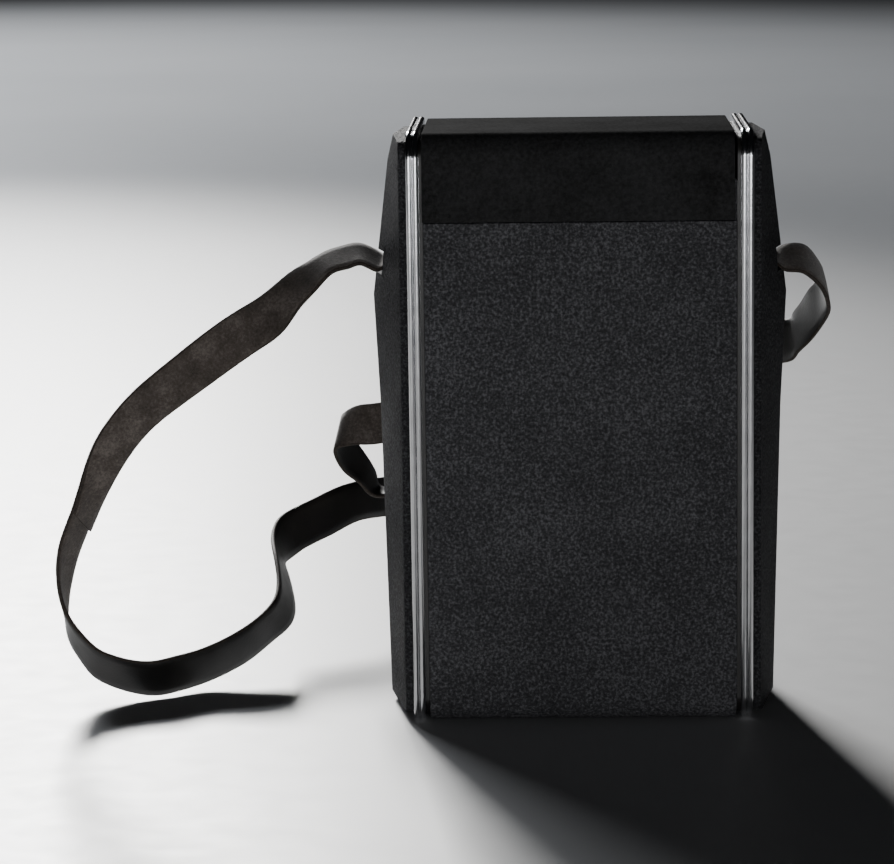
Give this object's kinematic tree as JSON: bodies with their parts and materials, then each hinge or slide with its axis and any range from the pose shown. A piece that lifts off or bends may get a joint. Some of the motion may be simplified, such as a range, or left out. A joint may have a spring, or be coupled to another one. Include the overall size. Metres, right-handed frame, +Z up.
{
  "type": "portable radio",
  "caption": "Upright leather-covered portable valve radio with faceted side caps, bright bead trims, flip-up lid over the controls, battery door and shoulder strap.",
  "frame": {"origin": "centre of the flat base, on the surface that the radio stands on", "axes": "+Z up, front faces -Y, +X is the right side seen from the front"},
  "size_m": [0.3096, 0.2494, 0.2318],
  "materials": {
    "grained_leather": "matt, pebble grain",
    "smooth_leather": "satin, smooth",
    "strap_leather": "suede inside, smooth black outside",
    "bright_trim": "polished",
    "moulded_frame": "moulded phenolic",
    "deck_enamel": "satin enamel",
    "liner_board": "matt fibre board",
    "copper_loop": "cotton-covered copper wire",
    "nickel_steel": "nickel plated",
    "screws": "nickel plated",
    "grille_metal": "satin lacquered",
    "grille_cloth": "woven",
    "speaker_steel": "plain",
    "knob_plastic": "moulded ivory",
    "dial_metal": "printed",
    "tuner_aluminium": "plain",
    "chassis_steel": "cadmium plated",
    "valve_glass": "clear",
    "battery_card": "printed card jacket",
    "plug_plastic": "moulded phenolic",
    "lead_rubber": "rubber covered"
  },
  "bodies": {
    "case": {"front_shell": "grained_leather", "end_frame_left": "moulded_frame", "end_frame_right": "moulded_frame", "trim_left": "bright_trim", "trim_right": "bright_trim", "cap_left": "grained_leather", "cap_right": "grained_leather", "case_hinge_leaf": "nickel_steel", "lid_hinge_pin": "nickel_steel", "catch_strike": "nickel_steel", "rear_panel": "grained_leather", "door_hinge_leaf": "nickel_steel", "door_hinge_pin": "nickel_steel", "door_catch": "nickel_steel", "rear_screws": "screws", "control_deck": "deck_enamel", "speaker_grille": "grille_metal", "grille_cloth": "grille_cloth", "speaker_basket": "speaker_steel", "speaker_cone": "liner_board", "speaker_magnet": "speaker_steel", "volume_control": "moulded_frame", "dial_plate": "dial_metal", "tuning_frame": "tuner_aluminium", "lid_switch_body": "moulded_frame", "deck_screws": "screws", "chassis": "chassis_steel", "valve_sockets": "moulded_frame", "valve_1": "valve_glass", "valve_2": "valve_glass", "valve_3": "valve_glass", "valve_4": "valve_glass", "intermediate_coils": "tuner_aluminium", "output_transformer": "speaker_steel", "filter_capacitor": "tuner_aluminium", "battery_tray": "moulded_frame", "high_voltage_battery": "battery_card", "battery_plug": "plug_plastic", "battery_lead": "lead_rubber", "filament_cell_1": "battery_card", "filament_cell_2": "battery_card", "cell_contacts": "nickel_steel", "strap_left": "strap_leather", "strap_right": "strap_leather", "strap_anchor_left": "nickel_steel", "strap_anchor_right": "nickel_steel", "strap_clamps": "nickel_steel"},
    "lid": {"lid": "smooth_leather", "lid_liner": "liner_board", "loop_antenna": "copper_loop", "lid_hinge_leaf": "nickel_steel", "lid_catch": "nickel_steel"},
    "battery_door": {"battery_door": "grained_leather", "door_pull": "strap_leather"},
    "volume": {"volume_knob": "knob_plastic"},
    "tuning": {"tuning_knob": "knob_plastic", "tuning_rotor": "tuner_aluminium"},
    "lid_switch": {"lid_switch_plunger": "knob_plastic"}
  },
  "joints": [
    {"name": "lid_hinge", "type": "hinge", "parent": "case", "child": "lid", "pos_m": [0, 0.0382, 0.2262], "axis": [-1, 0, 0], "range_deg": [0, 105]},
    {"name": "battery_door_hinge", "type": "hinge", "parent": "case", "child": "battery_door", "pos_m": [0, 0.04, 0.0183], "axis": [-1, 0, 0], "range_deg": [0, 90]},
    {"name": "volume_turn", "type": "hinge", "parent": "case", "child": "volume", "pos_m": [0.034, -0.018, 0.2], "axis": [0, 0, -1], "range_deg": [0, 300]},
    {"name": "tuning_turn", "type": "hinge", "parent": "case", "child": "tuning", "pos_m": [0.034, 0.017, 0.2], "axis": [0, 0, -1], "range_deg": [0, 180]},
    {"name": "lid_switch_travel", "type": "slide", "parent": "case", "child": "lid_switch", "axis": [0, 0, 1], "range_m": [0, 0.003]}
  ],
  "couplings": [
    {"joint": "lid_switch_travel", "follows": "lid_hinge", "m_per_rad": 0.0016}
  ]
}
